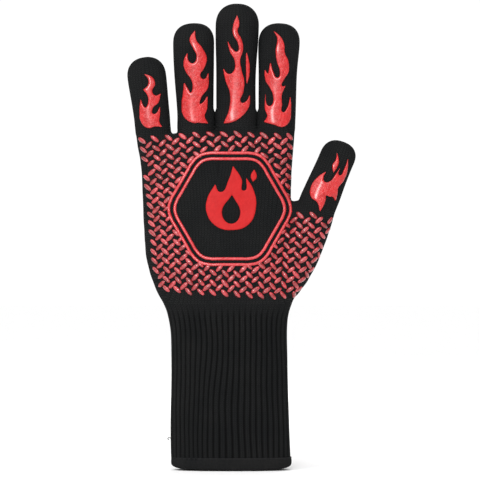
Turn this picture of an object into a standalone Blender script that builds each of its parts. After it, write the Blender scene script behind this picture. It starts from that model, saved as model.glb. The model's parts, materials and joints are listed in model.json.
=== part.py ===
"""A heat resistant barbecue glove: a knitted outer shell with five finger stalls, a long ribbed cuff
with a folded hem, a separate knitted lining, and raised silicone grips on both faces.

Metres, +Z from the wrist opening to the fingertips, -Y out of the palm face, +X towards the thumb.
The origin is the centre of the wrist opening, in the plane of the hem's lower edge.
"""

import math

import bmesh
import bpy
from mathutils import Matrix, Vector

MM = 0.001

# Thicknesses and gaps.
SHELL_WALL = 2.0 * MM
CUFF_WALL = 2.2 * MM
HEM_WALL = 3.6 * MM
LINING_WALL = 1.5 * MM
GRIP_THICKNESS = 1.0 * MM
GAP = 0.3 * MM

# How finely the knitted tubes are faceted, and how square their cross sections are.
STALL_SIDES = 14
PALM_SIDES = 24
RIB_COUNT = 46
TIP_RINGS = 3
SQUARENESS = 2.5

# Cross sections of the hand, from the wrist up: height, little finger edge, thumb edge, half depth.
PALM_SECTIONS = (
    (126.0, -52.0, 46.5, 17.5),
    (134.0, -56.5, 49.5, 18.0),
    (146.0, -61.0, 50.0, 18.0),
    (160.0, -64.8, 49.0, 18.0),
    (185.0, -66.5, 47.5, 17.5),
    (210.0, -67.5, 45.8, 16.5),
    (234.0, -69.3, 46.0, 14.8),
    (247.0, -71.5, 47.4, 13.6),
    (255.5, -72.8, 48.0, 12.5),
)
CUFF_SECTIONS = (
    (9.3, -45.4, 44.6, 17.0),
    (60.0, -45.8, 42.8, 17.0),
    (112.0, -46.8, 43.0, 17.0),
    (122.5, -51.0, 45.6, 17.4),
    (125.7, -51.6, 46.1, 17.5),
)
HEM_SECTIONS = (  # the first two are alike, so that the lower edge is flat
    (0.0, -45.0, 45.0, 17.0),
    (1.2, -45.0, 45.0, 17.0),
    (3.0, -45.6, 45.6, 17.5),
    (6.5, -45.6, 45.6, 17.5),
    (9.0, -45.2, 45.0, 17.2),
)
RIB_RISE = 0.7 * MM

# The thumb's root inside the palm: distance below its knuckle, half width, half depth.
THUMB_ROOT_SECTIONS = ((-70.0, 9.0, 11.0), (-58.0, 13.0, 13.5), (-40.0, 15.3, 14.5), (-12.0, 15.4, 13.2))

# Each finger: its knuckle's place (x, z), its lean towards the thumb in degrees, and, measured from the
# knuckle, its middle joint and its tip, with its half width at the knuckle and near the tip.
FINGERS = {
    "little": dict(knuckle=(-59.6, 258.0), lean=-7.0, joint=25.0, tip=56.5, base=13.6, end=14.4),
    "ring": dict(knuckle=(-27.4, 260.5), lean=-1.4, joint=35.0, tip=79.5, base=13.9, end=15.2),
    "middle": dict(knuckle=(3.5, 261.0), lean=0.4, joint=42.0, tip=94.0, base=14.9, end=15.4),
    "index": dict(knuckle=(34.4, 260.5), lean=1.6, joint=35.0, tip=79.5, base=14.1, end=15.1),
    "thumb": dict(knuckle=(65.6, 201.4), lean=20.5, joint=23.0, tip=51.6, base=14.6, end=13.9),
}
DEPTH_RATIO = 0.82
STUB_DEPTH = 12.0 * MM
STUB_NARROWING = 0.7 * MM

# The hexagonal badge on each face of the palm: half heights of its two lines, and their corner radii.
BADGE_CENTRE = (-1.0, 199.5)
BADGE_LINES = {"outer_ring": (42.5, 40.4, 14.0), "inner_ring": (37.0, 34.7, 10.0)}
CREASE_MARGIN = 1.6 * MM  # grips stop this far from a joint, so that they don't meet as it bends

# Flame outlines, in millimetres: across the finger, along it from the knuckle, and whether it is a point.
POINT, ROUND = True, False
FINGER_FLAMES = {
    "little": (
        (-1.0, 1.7, ROUND), (5.2, 4.5, ROUND), (8.0, 13.5, POINT), (4.2, 13.0, ROUND), (3.4, 19.0, ROUND),
        (6.6, 27.5, ROUND), (1.5, 34.5, ROUND), (2.6, 43.0, POINT), (-3.2, 36.5, ROUND), (-1.4, 29.0, ROUND),
        (-2.6, 21.0, ROUND), (-7.6, 25.5, POINT), (-7.6, 12.0, ROUND), (-6.2, 4.0, ROUND),
    ),
    "ring": (
        (-1.0, 2.8, ROUND), (6.6, 6.5, ROUND), (10.4, 20.0, POINT), (5.2, 20.5, ROUND), (5.0, 29.0, ROUND),
        (9.4, 42.5, POINT), (8.6, 52.0, ROUND), (3.4, 60.0, ROUND), (2.6, 70.0, POINT), (-3.8, 61.5, ROUND),
        (-0.8, 51.5, ROUND), (-3.4, 43.5, ROUND), (-9.0, 50.5, POINT), (-9.6, 38.0, ROUND),
        (-5.4, 28.5, ROUND), (-10.4, 30.0, POINT), (-9.6, 13.0, ROUND), (-6.6, 5.5, ROUND),
    ),
    "middle": (
        (-1.0, 3.2, ROUND), (6.4, 7.0, ROUND), (10.6, 25.0, POINT), (5.4, 23.0, ROUND), (5.4, 33.0, ROUND),
        (8.2, 46.0, ROUND), (4.6, 56.5, ROUND), (6.6, 67.0, ROUND), (0.6, 82.0, POINT), (1.8, 70.5, ROUND),
        (-2.4, 62.0, ROUND), (-0.8, 52.5, ROUND), (-4.2, 45.5, ROUND), (-10.6, 56.0, POINT),
        (-9.4, 40.0, ROUND), (-6.4, 30.0, ROUND), (-10.2, 31.0, POINT), (-9.4, 13.0, ROUND),
        (-6.4, 5.5, ROUND),
    ),
    "index": (
        (1.0, 2.8, ROUND), (7.4, 7.5, ROUND), (10.4, 28.0, POINT), (5.6, 23.0, ROUND), (4.2, 31.5, ROUND),
        (9.2, 44.0, ROUND), (5.4, 55.0, ROUND), (3.2, 71.0, POINT), (-1.6, 60.5, ROUND), (1.0, 51.0, ROUND),
        (-2.0, 43.0, ROUND), (-8.8, 51.0, POINT), (-8.2, 39.0, ROUND), (-4.6, 29.5, ROUND),
        (-10.2, 29.0, POINT), (-10.0, 14.0, ROUND), (-6.4, 6.0, ROUND),
    ),
    "thumb": (
        (0.0, 1.7, ROUND), (6.4, 5.5, ROUND), (9.4, 16.0, POINT), (5.0, 15.0, ROUND), (4.2, 22.0, ROUND),
        (8.4, 31.0, ROUND), (2.6, 37.5, ROUND), (2.0, 45.0, POINT), (-3.2, 40.0, ROUND), (-1.8, 33.5, ROUND),
        (-4.2, 28.0, ROUND), (-9.4, 34.0, POINT), (-9.4, 14.0, ROUND), (-5.8, 4.5, ROUND),
    ),
}
SIDE_FLAME = ((9.6, 53.0, POINT), (11.2, 61.0, ROUND), (8.4, 69.5, POINT), (8.8, 60.0, ROUND))
BADGE_FLAME = (
    (0.0, -24.5, ROUND), (13.5, -20.0, ROUND), (19.0, -7.0, ROUND), (17.0, 6.5, ROUND), (11.5, 15.5, POINT),
    (9.6, 5.5, ROUND), (8.2, 14.0, ROUND), (1.5, 24.5, POINT), (-2.0, 13.5, ROUND), (-8.0, 4.5, ROUND),
    (-12.0, 10.5, POINT), (-18.2, -1.0, ROUND), (-18.6, -11.0, ROUND), (-12.0, -21.0, ROUND),
)
BADGE_DROP = ((0.0, -19.5, ROUND), (6.8, -13.0, ROUND), (0.8, 2.5, POINT), (-6.8, -12.0, ROUND))
BADGE_SPARK = ((16.6, 12.0, POINT), (19.6, 15.8, ROUND), (17.6, 22.0, POINT), (14.9, 16.4, ROUND))

COLOURS = {  # base colour, roughness
    "shell": ((0.016, 0.017, 0.018, 1.0), 0.95),
    "rib": ((0.013, 0.014, 0.015, 1.0), 0.95),
    "lining": ((0.045, 0.047, 0.05, 1.0), 0.98),
    "grip": ((0.62, 0.035, 0.035, 1.0), 0.35),
}


# ---------------------------------------------------------------- scene and materials

def clear_scene():
    for old in list(bpy.data.objects):
        bpy.data.objects.remove(old)


def new_collection(name):
    made = bpy.data.collections.new(name)
    bpy.context.scene.collection.children.link(made)
    return made


def new_material(name):
    colour, roughness = COLOURS[name]
    material = bpy.data.materials.new(name)
    material.use_nodes = True
    shader = material.node_tree.nodes["Principled BSDF"]
    shader.inputs["Base Color"].default_value = colour
    shader.inputs["Roughness"].default_value = roughness
    shader.inputs["Metallic"].default_value = 0.0
    material.diffuse_color = colour
    return material


# ---------------------------------------------------------------- cross sections

def superellipse(angle, half_width, half_depth):
    """A point of a rounded flat section, a little squarer than an ellipse."""
    across, out = math.cos(angle), math.sin(angle)
    power = 2.0 / SQUARENESS
    x = math.copysign(abs(across) ** power, across) * half_width
    y = math.copysign(abs(out) ** power, out) * half_depth
    return x, y


def body_rings(sections, inset):
    """Rings of the palm, cuff or hem: height, centre x, centre y, half width, half depth, in metres."""
    rings = []
    for height, little_edge, thumb_edge, half_depth in sections:
        centre = (little_edge + thumb_edge) / 2 * MM
        half_width = (thumb_edge - little_edge) / 2 * MM - inset
        rings.append((height * MM, centre, 0.0, half_width, half_depth * MM - inset))
    return rings


def knuckle_depth(finger):
    return finger["base"] * DEPTH_RATIO * MM


def stall_section(finger, along):
    """Half width and half depth of a finger's outer surface, at a distance from its knuckle."""
    straight = (finger["tip"] - finger["end"]) * MM
    share = min(max(along / straight, 0.0), 1.0)
    half_width = (finger["base"] + (finger["end"] - finger["base"]) * share) * MM
    return half_width, half_width * DEPTH_RATIO


def stall_ring(finger, along, inset, scale=1.0):
    """A ring of a finger, in its knuckle's frame, where the knuckle's hinge line is on the palm face."""
    half_width, half_depth = stall_section(finger, along)
    return (along, 0.0, knuckle_depth(finger), (half_width - inset) * scale, (half_depth - inset) * scale)


def straight_rings(finger, start, end, inset, steps=1):
    return [stall_ring(finger, start + (end - start) * i / steps, inset) for i in range(steps + 1)]


def tip_rings(finger, inset):
    """Rings of the rounded fingertip, from where it starts to curve in to just short of its pole."""
    end = finger["end"] * MM
    start = finger["tip"] * MM - end
    rings = []
    for i in range(TIP_RINGS):
        angle = math.radians(82) * (i + 1) / TIP_RINGS
        along = start + (end - inset) * math.sin(angle)
        section = stall_ring(finger, start, inset, math.cos(angle) ** 0.8)
        rings.append((along, *section[1:]))
    return rings


# ---------------------------------------------------------------- meshes from rings

def lofted(name, rings, sides, cap_start, cap_end, rib_rise=0.0):
    """A surface through rings: a circle whose rim is extruded ring by ring, then fitted to each section."""
    bm = bmesh.new()
    bmesh.ops.create_circle(bm, cap_ends=cap_start, segments=sides, radius=1.0)
    rim = list(bm.edges)
    for level in range(1, len(rings)):
        grown = bmesh.ops.extrude_edge_only(bm, edges=rim)["geom"]
        rim = [item for item in grown if isinstance(item, bmesh.types.BMEdge)]
        top = [item for item in grown if isinstance(item, bmesh.types.BMVert)]
        bmesh.ops.translate(bm, verts=top, vec=(0.0, 0.0, 1.0))
    if cap_end:
        bmesh.ops.contextual_create(bm, geom=rim)
    for vert in bm.verts:
        height, centre_x, centre_y, half_width, half_depth = rings[round(vert.co.z)]
        angle = math.atan2(vert.co.y, vert.co.x)
        side = round(angle / (2 * math.pi / sides))
        rise = rib_rise / 2 * (1 if side % 2 else -1)
        x, y = superellipse(angle, half_width + rise, half_depth + rise)
        vert.co = (centre_x + x, centre_y + y, height)
    bmesh.ops.recalc_face_normals(bm, faces=bm.faces)
    mesh = bpy.data.meshes.new(name)
    bm.to_mesh(mesh)
    bm.free()
    return bpy.data.objects.new(name, mesh)


def add_wall(obj, thickness):
    """Gives an open surface a wall that grows inwards."""
    wall = obj.modifiers.new("wall", "SOLIDIFY")
    wall.thickness = thickness
    wall.offset = -1.0
    wall.use_even_offset = True


def add_boolean(obj, operation, other):
    cut = obj.modifiers.new(operation.lower(), "BOOLEAN")
    cut.operation = operation
    cut.solver = "EXACT"
    cut.object = other


def keep_as_cutter(obj, parent=None):
    """Links a helper solid that only shapes other pieces."""
    obj.hide_render = True
    obj.display_type = "WIRE"
    obj.parent = parent
    cutters.objects.link(obj)
    return obj


def keep_as_part(obj, material, parent=None):
    obj.data.materials.append(materials[material])
    if parent is not None:
        obj.parent = parent
    parts.objects.link(obj)
    if obj.type == "MESH":
        obj.data.shade_smooth()
        obj.data.set_sharp_from_angle(angle=math.radians(40))
    return obj


# ---------------------------------------------------------------- joints

def add_joint(name, location, lean, parent=None):
    """An empty on a joint's hinge line: its X axis is the hinge, its Z axis runs along the finger."""
    empty = bpy.data.objects.new(name, None)
    empty.location = location
    empty.rotation_euler = (0.0, lean, 0.0)
    empty.empty_display_size = 10 * MM
    empty.parent = parent
    parts.objects.link(empty)
    return empty


def knuckle_joint(name, finger):
    x, z = finger["knuckle"]
    place = (x * MM, -knuckle_depth(finger), z * MM)
    return add_joint(f"{name}_knuckle", place, math.radians(finger["lean"]))


def middle_joint(name, finger, knuckle):
    along = finger["joint"] * MM
    _, half_depth = stall_section(finger, along)
    return add_joint(f"{name}_joint", (0.0, knuckle_depth(finger) - half_depth, along), 0.0, knuckle)


def moved_to_joint(rings, finger):
    """The same rings, measured from the middle joint's hinge line."""
    along = finger["joint"] * MM
    _, half_depth = stall_section(finger, along)
    shift = knuckle_depth(finger) - half_depth
    return [(r[0] - along, r[1], r[2] - shift, r[3], r[4]) for r in rings]


# ---------------------------------------------------------------- hand: palm, thumb root and finger stubs

def hand_solid(name, inset, overrun):
    """The palm as one closed solid with the thumb's root and the start of each finger, shrunk by inset.
    With an overrun its open ends are carried on, which makes it a cutter for the hollow."""
    rings = body_rings(PALM_SECTIONS, inset)
    bottom, top = rings[0], rings[-1]
    rings[0] = (bottom[0] + GAP / 2 - overrun, *bottom[1:])
    rings[-1] = (top[0] - inset, *top[1:])
    palm = lofted(name, rings, PALM_SIDES, True, True)
    for finger_name, finger in FINGERS.items():
        add_boolean(palm, "UNION", stub_solid(f"{name}_{finger_name}", finger_name, finger, inset, overrun))
    return palm


def stub_solid(name, finger_name, finger, inset, overrun):
    """The start of a finger below its knuckle, in the hand's own frame."""
    end = stall_ring(finger, 0.0, inset)
    if finger_name == "thumb":
        low = [(s * MM + inset, 0.0, end[2], w * MM - inset, d * MM - inset) for s, w, d in THUMB_ROOT_SECTIONS]
    else:
        low = [stall_ring(finger, -STUB_DEPTH + inset, inset + STUB_NARROWING)]
    top = (overrun - GAP / 2, *end[1:])
    stub = lofted(name, [*low, top], STALL_SIDES, True, True)
    x, z = finger["knuckle"]
    place = Vector((x * MM, -knuckle_depth(finger), z * MM))
    stub.data.transform(Matrix.Translation(place) @ Matrix.Rotation(math.radians(finger["lean"]), 4, "Y"))
    return keep_as_cutter(stub)


def build_hand(name, material, inset, wall):
    """The hollow hand: the palm's wall, open at the wrist and at all five knuckles."""
    hand = hand_solid(name, inset, 0.0)
    hollow = keep_as_cutter(hand_solid(f"{name}_hollow", inset + wall, 4 * MM))
    add_boolean(hand, "DIFFERENCE", hollow)
    return keep_as_part(hand, material)


# ---------------------------------------------------------------- cuff

def build_cuff():
    cuff = lofted("rib_cuff", body_rings(CUFF_SECTIONS, 0.0), 2 * RIB_COUNT, False, False, RIB_RISE)
    add_wall(cuff, CUFF_WALL)
    keep_as_part(cuff, "rib")

    hem = lofted("cuff_hem", body_rings(HEM_SECTIONS, 0.0), 2 * PALM_SIDES, False, False)
    add_wall(hem, HEM_WALL)
    keep_as_part(hem, "rib")

    inset = CUFF_WALL + RIB_RISE / 2 + GAP
    lining = lofted("cuff_lining", body_rings(CUFF_SECTIONS, inset), 2 * PALM_SIDES, False, False)
    add_wall(lining, LINING_WALL)
    keep_as_part(lining, "lining")


# ---------------------------------------------------------------- finger stalls

def build_stalls(name, finger, knuckle, joint):
    """A finger's outer stall and its lining, each in two lengths that meet at the middle joint."""
    for layer, material, inset, wall in (
        ("stall", "shell", 0.0, SHELL_WALL),
        ("lining", "lining", SHELL_WALL + GAP, LINING_WALL),
    ):
        bend = finger["joint"] * MM
        base_rings = straight_rings(finger, GAP / 2, bend - GAP / 2, inset)
        base = lofted(f"{name}_base_{layer}", base_rings, STALL_SIDES, False, False)
        add_wall(base, wall)
        keep_as_part(base, material, knuckle)

        straight_end = (finger["tip"] - finger["end"]) * MM
        rings = [stall_ring(finger, bend + GAP / 2, inset), stall_ring(finger, straight_end, inset)]
        rings = moved_to_joint([*rings, *tip_rings(finger, inset)], finger)
        tip = lofted(f"{name}_tip_{layer}", rings, STALL_SIDES, False, True)
        add_wall(tip, wall)
        keep_as_part(tip, material, joint)


# ---------------------------------------------------------------- silicone grips

def curve_prism(name, loops, near, far):
    """A mesh prism across Y from near to far, whose outline is drawn in X and Z by closed loops."""
    curve = bpy.data.curves.new(name, "CURVE")
    curve.dimensions = "2D"
    curve.fill_mode = "BOTH"
    curve.extrude = abs(far - near) / 2
    curve.resolution_u = 2
    for loop in loops:
        spline = curve.splines.new("BEZIER")
        spline.bezier_points.add(len(loop) - 1)
        spline.use_cyclic_u = True
        for point, (x, z, is_point) in zip(spline.bezier_points, loop):
            point.co = (x * MM, z * MM, 0.0)
            kind = "VECTOR" if is_point else "AUTO"
            point.handle_left_type = kind
            point.handle_right_type = kind
    drawn = bpy.data.objects.new(name, curve)
    cutters.objects.link(drawn)
    drawn.matrix_world = Matrix.Translation((0.0, (near + far) / 2, 0.0)) @ Matrix.Rotation(math.pi / 2, 4, "X")
    bpy.context.view_layer.update()
    evaluated = drawn.evaluated_get(bpy.context.evaluated_depsgraph_get())
    mesh = bpy.data.meshes.new_from_object(evaluated)
    mesh.transform(drawn.matrix_world)
    bpy.data.objects.remove(drawn)
    bm = bmesh.new()
    bm.from_mesh(mesh)
    bmesh.ops.remove_doubles(bm, verts=bm.verts, dist=0.01 * MM)
    bmesh.ops.recalc_face_normals(bm, faces=bm.faces)
    bm.to_mesh(mesh)
    bm.free()
    return bpy.data.objects.new(name, mesh)


def lay_on(prism, under, over, material, parent=None):
    """Trims a prism to the layer between two solids, so that it follows the curve of the cloth."""
    add_boolean(prism, "INTERSECT", over)
    add_boolean(prism, "DIFFERENCE", under)
    keep_as_part(prism, material, parent)


def hexagon(half_height, corner_radius):
    """A hexagon with level top and bottom edges, whose corners are rounded by Bezier points."""
    setback = corner_radius * math.tan(math.radians(30))
    reach = half_height / math.cos(math.radians(30))
    corners = [Vector((math.cos(math.radians(60 * i)), math.sin(math.radians(60 * i)))) * reach for i in range(6)]
    loop = []
    for i, corner in enumerate(corners):
        before = (corners[i - 1] - corner).normalized()
        after = (corners[(i + 1) % 6] - corner).normalized()
        middle = corner + (before + after) * setback * 0.268
        loop += [corner + before * setback, middle, corner + after * setback]
    x0, z0 = BADGE_CENTRE
    return [(x0 + p.x, z0 + p.y, ROUND) for p in loop]


def shifted(loop, centre):
    return [(x + centre[0], z + centre[1], is_point) for x, z, is_point in loop]


def build_badge(face, near, far, under, over):
    for ring_name, (outside, inside, radius) in BADGE_LINES.items():
        loops = [hexagon(outside, radius), hexagon(inside, radius - (outside - inside))]
        ring = curve_prism(f"palm_{ring_name}_{face}", loops, near, far)
        lay_on(ring, under, over, "grip")
    centre = (BADGE_CENTRE[0] + 0.5, BADGE_CENTRE[1] + 7.0)
    loops = [shifted(BADGE_FLAME, centre), shifted(BADGE_DROP, centre)]
    lay_on(curve_prism(f"palm_flame_{face}", loops, near, far), under, over, "grip")
    spark = [shifted(BADGE_SPARK, centre)]
    lay_on(curve_prism(f"palm_spark_{face}", spark, near, far), under, over, "grip")


def box_solid(name, low, high, parent):
    """A closed box, given its corners in its parent's frame."""
    bm = bmesh.new()
    bmesh.ops.create_cube(bm, size=1.0)
    size = Vector(high) - Vector(low)
    bmesh.ops.scale(bm, vec=size, verts=bm.verts)
    bmesh.ops.translate(bm, vec=(Vector(low) + Vector(high)) / 2, verts=bm.verts)
    mesh = bpy.data.meshes.new(name)
    bm.to_mesh(mesh)
    bm.free()
    return keep_as_cutter(bpy.data.objects.new(name, mesh), parent)


def grip_layers(name, finger, parent, at_joint):
    """The two closed solids that a finger's grips lie between, under and over."""
    start, end = -3 * MM, (finger["tip"] - finger["end"]) * MM
    layers = []
    for layer, inset in (("under", -GAP), ("over", -GAP - GRIP_THICKNESS)):
        rings = [stall_ring(finger, start, inset), stall_ring(finger, end, inset), *tip_rings(finger, inset)]
        if at_joint:
            rings = moved_to_joint(rings, finger)
        solid = lofted(f"{name}_{layer}", rings, STALL_SIDES, True, True)
        layers.append(keep_as_cutter(solid, parent))
    return layers


def build_finger_flames(name, finger, knuckle, joint, face):
    """A finger's flame on one face, in two lengths that stop short of the middle joint."""
    side = -1 if face == "front" else 1
    bend = finger["joint"] * MM
    far = 60 * MM
    for length, parent, at_joint in (("lower", knuckle, False), ("upper", joint, True)):
        under, over = grip_layers(f"{name}_{length}_{face}", finger, parent, at_joint)
        middle = moved_to_joint([stall_ring(finger, bend, 0.0)], finger)[0][2] if at_joint else knuckle_depth(finger)
        shift = bend / MM if at_joint else 0.0
        loop = [(x, along - shift, is_point) for x, along, is_point in FINGER_FLAMES[name]]
        flame = curve_prism(f"{name}_{length}_flame_{face}", [loop], middle, middle + side * far)
        low, high = (CREASE_MARGIN, far * 2) if at_joint else (-far, bend - CREASE_MARGIN)
        keep = box_solid(f"{name}_{length}_{face}_reach", (-far, -far * 2, low), (far, far * 2, high), parent)
        add_boolean(flame, "INTERSECT", keep)
        lay_on(flame, under, over, "grip", parent)
        if name == "middle" and at_joint:
            loop = [(x, along - shift, is_point) for x, along, is_point in SIDE_FLAME]
            sliver = curve_prism(f"{name}_side_flame_{face}", [loop], middle, middle + side * far)
            lay_on(sliver, under, over, "grip", parent)


# ---------------------------------------------------------------- the glove

def build_glove():
    build_hand("palm_shell", "shell", 0.0, SHELL_WALL)
    build_hand("palm_lining", "lining", SHELL_WALL + GAP, LINING_WALL)
    build_cuff()
    under = keep_as_cutter(hand_solid("palm_grip_under", -GAP, 0.0))
    over = keep_as_cutter(hand_solid("palm_grip_over", -GAP - GRIP_THICKNESS, 0.0))
    for face, side in (("front", -1), ("back", 1)):
        build_badge(face, 0.0, side * 60 * MM, under, over)
    for name, finger in FINGERS.items():
        knuckle = knuckle_joint(name, finger)
        joint = middle_joint(name, finger, knuckle)
        build_stalls(name, finger, knuckle, joint)
        for face in ("front", "back"):
            build_finger_flames(name, finger, knuckle, joint, face)


clear_scene()
parts = new_collection("heat_resistant_glove")
cutters = new_collection("cutters")
materials = {name: new_material(name) for name in COLOURS}
build_glove()
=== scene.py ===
# %% [markdown]
# # A heat resistant barbecue glove
#
# A long glove knitted in black yarn, with red silicone printed on it: a badge on the palm, a flame on
# every finger, and a field of small oval pads. The hand is one soft form, so it is made as lofts that
# are melted together. The silicone is made flat and then laid on the knit, as a printer would do it.
#
# The solid model gives the joints and the size. Everything here is in metres, fingers up (+Z), palm
# towards the viewer (-Y) and thumb to the right (+X).

# %% Load the solid model
import json
import math
import random

import bmesh
import bpy
import numpy as np
from mathutils import Matrix, Vector, noise
from mathutils.bvhtree import BVHTree


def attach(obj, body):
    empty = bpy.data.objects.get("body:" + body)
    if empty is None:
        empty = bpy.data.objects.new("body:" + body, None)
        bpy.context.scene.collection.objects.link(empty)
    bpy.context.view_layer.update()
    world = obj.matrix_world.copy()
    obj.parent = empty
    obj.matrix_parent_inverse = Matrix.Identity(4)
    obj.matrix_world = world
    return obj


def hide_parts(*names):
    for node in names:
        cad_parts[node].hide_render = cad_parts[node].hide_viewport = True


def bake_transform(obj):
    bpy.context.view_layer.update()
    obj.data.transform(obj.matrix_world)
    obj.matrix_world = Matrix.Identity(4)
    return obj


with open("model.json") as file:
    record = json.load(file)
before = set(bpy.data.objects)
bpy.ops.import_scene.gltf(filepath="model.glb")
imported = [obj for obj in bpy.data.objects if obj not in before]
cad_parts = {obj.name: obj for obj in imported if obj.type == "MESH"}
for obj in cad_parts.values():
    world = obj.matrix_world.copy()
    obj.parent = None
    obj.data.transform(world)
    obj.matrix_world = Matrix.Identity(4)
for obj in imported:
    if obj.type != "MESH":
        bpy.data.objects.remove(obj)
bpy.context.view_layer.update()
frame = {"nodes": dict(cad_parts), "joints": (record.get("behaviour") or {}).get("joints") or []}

joints = {joint["name"]: joint for joint in frame["joints"]}
print("joints:", len(joints), " nodes:", len(frame["nodes"]))

# %% [markdown]
# ## Sizes
#
# The wrist, palm and fingers are all described by sections: how wide and how deep the glove is at a
# height. Straight lines between sections would show as kinks, so they are read through a running
# average, which rounds each corner.

# %% Sections of the cuff and palm
MM = 0.001
FACES = {"front": -1.0, "back": 1.0}

BODY_SECTIONS = np.array([  # height, little finger edge, thumb edge, half depth
    (0.0, -45.0, 45.0, 16.8), (9.0, -45.5, 44.8, 16.8), (30.0, -45.6, 43.8, 17.0),
    (60.0, -45.6, 42.8, 17.0), (104.0, -46.2, 42.4, 17.0), (112.0, -47.2, 42.8, 17.0),
    (118.0, -48.4, 43.4, 17.1), (123.0, -49.8, 44.8, 17.3), (129.0, -53.4, 47.4, 17.6),
    (134.0, -56.2, 49.4, 17.9), (146.0, -61.0, 49.8, 18.0), (160.0, -64.8, 48.6, 18.0),
    (175.0, -66.2, 47.6, 17.8), (190.0, -66.6, 46.8, 17.2), (210.0, -67.6, 45.6, 16.0),
    (228.0, -68.8, 45.4, 14.6), (238.0, -70.0, 46.6, 13.6), (247.0, -71.8, 47.4, 12.6),
    (262.0, -73.6, 47.8, 11.2),
])
WRIST = 126.2


def eased(where, column, reach=5.0):
    """A column of the sections at some heights, averaged over a short stretch."""
    steps = np.linspace(-reach, reach, 9)
    heights, values = BODY_SECTIONS[:, 0], BODY_SECTIONS[:, column]
    return np.mean([np.interp(np.asarray(where) + s, heights, values) for s in steps], axis=0)


def body_size(height):
    """Centre, half width and half depth of the cuff or palm, in millimetres."""
    left, right, depth = (eased(height, column) for column in (1, 2, 3))
    return (left + right) / 2, (right - left) / 2, depth


print("palm width at 200 mm:", round(float(body_size(200.0)[1] * 2), 1))

# %% Sizes of the fingers
# From the knuckle: the middle joint and the tip. Then half the width at the base and near the end,
# how late the finger widens, how square its tip is, what is added low down on each side, and how far
# it leans.
MEASURES = ("joint", "tip", "base", "end", "late", "dome", "flare", "drift")
FINGERS = {name: dict(zip(MEASURES, values)) for name, *values in (
    ("little", 25.0, 56.6, 13.6, 14.9, 2.0, 2.25, (0.0, 0.0), 0.5),
    ("ring", 35.0, 79.6, 13.9, 15.8, 1.5, 2.45, (0.0, 1.3), 0.4),
    ("middle", 42.0, 94.0, 14.9, 16.4, 2.3, 2.25, (1.2, 1.3), 0.2),
    ("index", 35.0, 79.6, 14.3, 15.9, 5.0, 2.4, (1.3, 0.0), 0.3),
    ("thumb", 23.0, 52.2, 14.6, 13.5, 1.0, 2.4, (0.0, 0.0), 2.2),
)}
SQUARENESS, STALL_SQUARENESS = 2.4, 2.3  # of the palm and cuff, and of a finger
DEPTH_RATIO = 0.82  # a finger's depth as a share of its width
TAPER, TAPER_SHARE = 34.0, 0.20  # a fingertip gets thinner over this length, by this share
FLARE_TOP, FLARE_FADE = 14.5, 4.0  # a finger is widened up to here, and this is how soon that ends
KNUCKLE_BEND = (0.0, 11.0)  # the stretch of cloth that turns with a knuckle
MIDDLE_BEND = (-3.0, 10.0)  # the same about a middle joint
LINING_INSET, LINING_WALL = 2.2, 1.2


def finger_axes(name):
    """The finger's knuckle on its centre line, the way across it, and the way along it."""
    hinge = joints[f"{name}_knuckle"]
    across = Vector(hinge["axis"])
    return Vector((hinge["pos_m"][0], 0.0, hinge["pos_m"][2])), across, Vector((-across.z, 0.0, across.x))


def in_glove(name, x, along):
    """Distances across and along a finger as x and z in the glove's frame, in millimetres."""
    knuckle, across, way = finger_axes(name)
    return (knuckle.x / MM + across.x * x + way.x * along,
            knuckle.z / MM + across.z * x + way.z * along)


def split_at(name):
    """Where the finger's two lengths are parted: past the knuckle's bend and short of the middle one."""
    return (KNUCKLE_BEND[1] + FINGERS[name]["joint"] + MIDDLE_BEND[0]) / 2


for finger_name in FINGERS:
    print(finger_name, "parted at", split_at(finger_name), "mm")


def smooth_share(value):
    """0 below zero, 1 above one, and an S-shaped rise between them."""
    value = np.clip(value, 0.0, 1.0)
    return value * value * (3 - 2 * value)


def stall_size(finger, along, inset=0.0):
    """Half width and half depth of a finger at a distance from its knuckle."""
    end = finger["end"] - inset
    straight = finger["tip"] - finger["end"]
    share = smooth_share(along / straight) ** finger["late"]
    width = finger["base"] - inset + (finger["end"] - finger["base"]) * share
    thin = np.clip((along - (finger["tip"] - TAPER)) / TAPER, 0.0, 1.0)
    depth = (width + inset) * DEPTH_RATIO * (1 - TAPER_SHARE * thin * thin) - inset
    dome = np.clip((along - straight) / end, 0.0, 1.0)
    close = (1 - dome ** finger["dome"]) ** (1 / finger["dome"])
    return width * close, depth * close


def flared(finger, along, x, half_width):
    """Widens a finger on one side or both, low down, where it lies against its neighbour."""
    left, right = (amount * smooth_share((FLARE_TOP - along) / FLARE_FADE) for amount in finger["flare"])
    return x + np.maximum(x / half_width, 0.0) * right + np.minimum(x / half_width, 0.0) * left


# %% [markdown]
# ## Two helpers that shape every knitted tube
#
# A knitted tube is a ring of edges pulled out level by level. The rings are made as a plain cylinder
# with one level per unit of height, and then each vertex moves to its place on the real section. A
# section is a superellipse, which is a little squarer than an ellipse, as cloth with a hand's worth
# of air in it is. A seam in the pattern would show, so the last strip of faces gets the next number of
# stitches and not the first.

# %% Loft a tube from levels and sides
def superellipse(angle, half_width, half_depth, square=SQUARENESS):
    across, out = np.cos(angle), np.sin(angle)
    power = 2.0 / square
    return (np.sign(across) * np.abs(across) ** power * half_width,
            np.sign(out) * np.abs(out) ** power * half_depth)


def new_object(name, data):
    made = bpy.data.objects.new(name, data)
    bpy.context.scene.collection.objects.link(made)
    return made


def new_piece(name, bm):
    mesh = bpy.data.meshes.new(name)
    bm.to_mesh(mesh)
    bm.free()
    return smooth_but_rims(new_object(name, mesh))


def smooth_but_rims(piece):
    """Smooth shading that stops at sharp corners, so that a rim doesn't darken the cloth beside it."""
    piece.data.shade_smooth()
    piece.data.set_sharp_from_angle(angle=math.radians(55))
    return piece


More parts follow.
